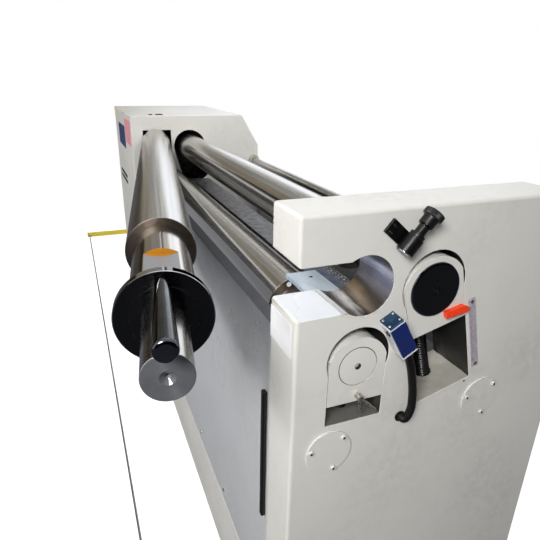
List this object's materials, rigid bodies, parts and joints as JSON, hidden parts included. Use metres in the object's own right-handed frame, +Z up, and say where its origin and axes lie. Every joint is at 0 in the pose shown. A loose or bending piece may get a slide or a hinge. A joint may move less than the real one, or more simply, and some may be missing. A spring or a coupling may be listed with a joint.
{
  "type": "plate rolling machine",
  "caption": "Plate rolling machine with a swing-out top roll, a rising bottom roll and a leaning rear bending roll between a gear housing and an open-mouthed end housing.",
  "frame": {"origin": "on the floor, under the middle of the machine's length and of the right housing's depth", "axes": "+X along the rolls towards the open-mouthed end housing, +Y to the rear, +Z up; people stand at -Y"},
  "size_m": [2.6753, 0.8932, 1.1443],
  "materials": {
    "housing_paint": "satin, lightly textured",
    "apron_paint": "satin",
    "roll_steel": "ground and polished",
    "bright_steel": "turned",
    "dark_steel": "machined, oiled",
    "galvanised": "galvanised sheet",
    "black_metal": "gloss black",
    "black_plastic": "moulded",
    "blue_plastic": "moulded",
    "orange_plastic": "flat",
    "yellow_paint": "gloss",
    "label_white": "blank film",
    "cable_black": "smooth"
  },
  "bodies": {
    "frame": {"right_housing": "housing_paint", "bore_bush": "bright_steel", "mouth_guide": "bright_steel", "left_housing": "housing_paint", "left_stand": "housing_paint", "foot_plates": "dark_steel", "head_end_cover": "housing_paint", "swing_pin": "dark_steel", "top_plugs": "black_metal", "apron": "apron_paint", "base_rails": "housing_paint", "rear_panel": "apron_paint", "bed_beam": "apron_paint", "guide_strip": "galvanised", "rear_tie_bar": "bright_steel", "adjuster_covers": "housing_paint", "scale_strip": "bright_steel", "latch_bracket": "black_metal", "latch_barrel": "black_metal", "limit_switch_body": "blue_plastic", "limit_switch_head": "blue_plastic", "switch_cable": "cable_black", "apron_handle": "black_plastic", "trip_arms": "yellow_paint", "trip_wire": "bright_steel", "blank_labels": "label_white"},
    "bottom_carriage": {"bottom_block_right": "housing_paint", "bottom_block_cap": "housing_paint", "bottom_block_left": "dark_steel", "bottom_screw": "dark_steel", "grease_fitting": "bright_steel"},
    "bottom_roll": {"bottom_roll": "roll_steel"},
    "rear_carriage": {"rear_block_right": "housing_paint", "rear_block_cap": "black_plastic", "rear_pointer": "orange_plastic", "rear_block_left": "dark_steel", "rear_screw": "dark_steel"},
    "rear_roll": {"rear_roll": "roll_steel"},
    "yoke": {"top_yoke": "dark_steel"},
    "top_roll": {"top_roll": "roll_steel"},
    "lock": {"lock_sleeve": "bright_steel", "lock_disc": "black_metal", "lock_handle": "black_metal"},
    "latch": {"latch_pin": "bright_steel", "latch_knob": "black_plastic"}
  },
  "joints": [
    {"name": "top_roll_swing", "type": "hinge", "parent": "frame", "child": "yoke", "pos_m": [-0.678, -0.182, 1.021], "axis": [0, 0, 1], "range_deg": [0, 8.95]},
    {"name": "top_roll_spin", "type": "hinge", "parent": "yoke", "child": "top_roll", "pos_m": [-0.678, -0.182, 1.021], "axis": [0.9878, -0.1556, 0], "continuous": true},
    {"name": "lock_turn", "type": "hinge", "parent": "yoke", "child": "lock", "pos_m": [-0.678, -0.182, 1.021], "axis": [-0.9878, 0.1556, 0], "range_deg": [0, 22]},
    {"name": "bottom_roll_lift", "type": "slide", "parent": "frame", "child": "bottom_carriage", "axis": [0, 0, 1], "range_m": [-0.025, 0.013]},
    {"name": "bottom_roll_spin", "type": "hinge", "parent": "bottom_carriage", "child": "bottom_roll", "pos_m": [0, -0.182, 0.879], "axis": [1, 0, 0], "continuous": true},
    {"name": "rear_roll_bend", "type": "slide", "parent": "frame", "child": "rear_carriage", "axis": [0, -0.2588, 0.9659], "range_m": [-0.09, 0.004]},
    {"name": "rear_roll_spin", "type": "hinge", "parent": "rear_carriage", "child": "rear_roll", "pos_m": [0, -0.048, 0.996], "axis": [1, 0, 0], "continuous": true},
    {"name": "latch_slide", "type": "slide", "parent": "frame", "child": "latch", "axis": [0, -0.6494, -0.7604], "range_m": [0, 0.014]}
  ]
}
